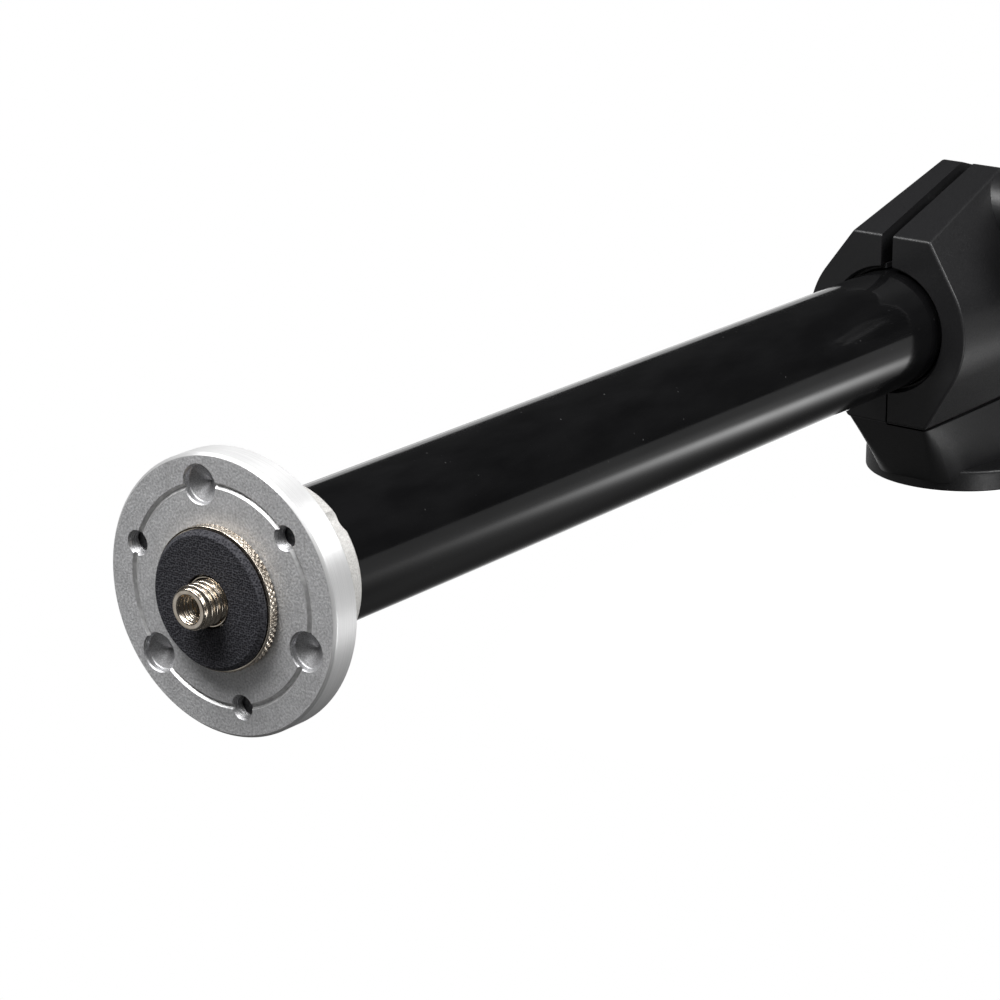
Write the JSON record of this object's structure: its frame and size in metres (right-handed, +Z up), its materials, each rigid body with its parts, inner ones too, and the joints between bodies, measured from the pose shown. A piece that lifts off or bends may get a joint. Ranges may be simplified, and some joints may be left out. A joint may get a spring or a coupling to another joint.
{
  "type": "tripod side arm",
  "caption": "Tripod side arm: a tube that slides and turns in a split clamp locked by a star knob, with a round camera platform on one end and a threaded foot under the clamp.",
  "frame": {"origin": "centre of the clamp's foot, on its underside, where the tripod's top plate meets it", "axes": "+Z up along the tripod's centre line; X along the tube, with the camera platform at -X; the knob is at -Y"},
  "size_m": [0.6096, 0.0814, 0.0911],
  "materials": {
    "black_casting": "satin black coating on an aluminium casting",
    "black_anodised": "glossy black anodised tube",
    "cast_aluminium": "fine sandy cast face with a turned rim",
    "nickel": "warm bright nickel plate",
    "steel": "zinc-plated steel",
    "dark_steel": "blackened steel",
    "rubber": "charcoal, finely grained",
    "black_plastic": "satin black moulding",
    "nylon": "dark nylon"
  },
  "bodies": {
    "clamp_base": {"clamp_body": "black_casting", "foot_insert": "steel", "clamp_nut": "steel", "hinge_pin": "steel"},
    "jaw": {"clamp_jaw": "black_casting", "opening_spring": "steel", "nylon_washer": "nylon"},
    "knob": {"clamp_knob": "black_plastic", "clamp_screw": "steel", "knob_cap": "black_plastic", "steel_washer": "steel"},
    "liner": {"split_liner": "nylon"},
    "arm": {"arm_tube": "black_anodised", "end_plug": "black_plastic", "platform_plate": "cast_aluminium", "hub_screw": "dark_steel", "camera_stud": "nickel"},
    "lock_pad": {"rubber_pad": "rubber"},
    "lock_disc": {"knurled_disc": "nickel"},
    "set_screw_a": {"set_screw_1": "dark_steel"},
    "set_screw_b": {"set_screw_2": "dark_steel"},
    "set_screw_c": {"set_screw_3": "dark_steel"}
  },
  "joints": [
    {"name": "jaw_open", "type": "hinge", "parent": "clamp_base", "child": "jaw", "pos_m": [0, -0.008, 0.0248], "axis": [1, 0, 0], "range_deg": [0, 1]},
    {"name": "knob_turn", "type": "hinge", "parent": "jaw", "child": "knob", "pos_m": [0, -0.03, 0.0712], "axis": [0, -1, 0], "range_deg": [0, 290]},
    {"name": "arm_rotate", "type": "hinge", "parent": "clamp_base", "child": "liner", "pos_m": [0, 0, 0.0462], "axis": [1, 0, 0], "continuous": true},
    {"name": "arm_slide", "type": "slide", "parent": "liner", "child": "arm", "axis": [1, 0, 0], "range_m": [-0.255, 0.235]},
    {"name": "pad_lift", "type": "slide", "parent": "arm", "child": "lock_pad", "axis": [-1, 0, 0], "range_m": [0, 0.00317]},
    {"name": "disc_turn", "type": "hinge", "parent": "lock_pad", "child": "lock_disc", "pos_m": [-0.3, 0, 0.0462], "axis": [-1, 0, 0], "range_deg": [0, 718]},
    {"name": "set_screw_a_travel", "type": "slide", "parent": "arm", "child": "set_screw_a", "axis": [-1, 0, 0], "range_m": [-0.001, 0.0035]},
    {"name": "set_screw_b_travel", "type": "slide", "parent": "arm", "child": "set_screw_b", "axis": [-1, 0, 0], "range_m": [-0.001, 0.0035]},
    {"name": "set_screw_c_travel", "type": "slide", "parent": "arm", "child": "set_screw_c", "axis": [-1, 0, 0], "range_m": [-0.001, 0.0035]}
  ],
  "couplings": [
    {"joint": "jaw_open", "follows": "knob_turn", "ratio": 0.00343},
    {"joint": "pad_lift", "follows": "disc_turn", "m_per_rad": 0.00025266}
  ]
}
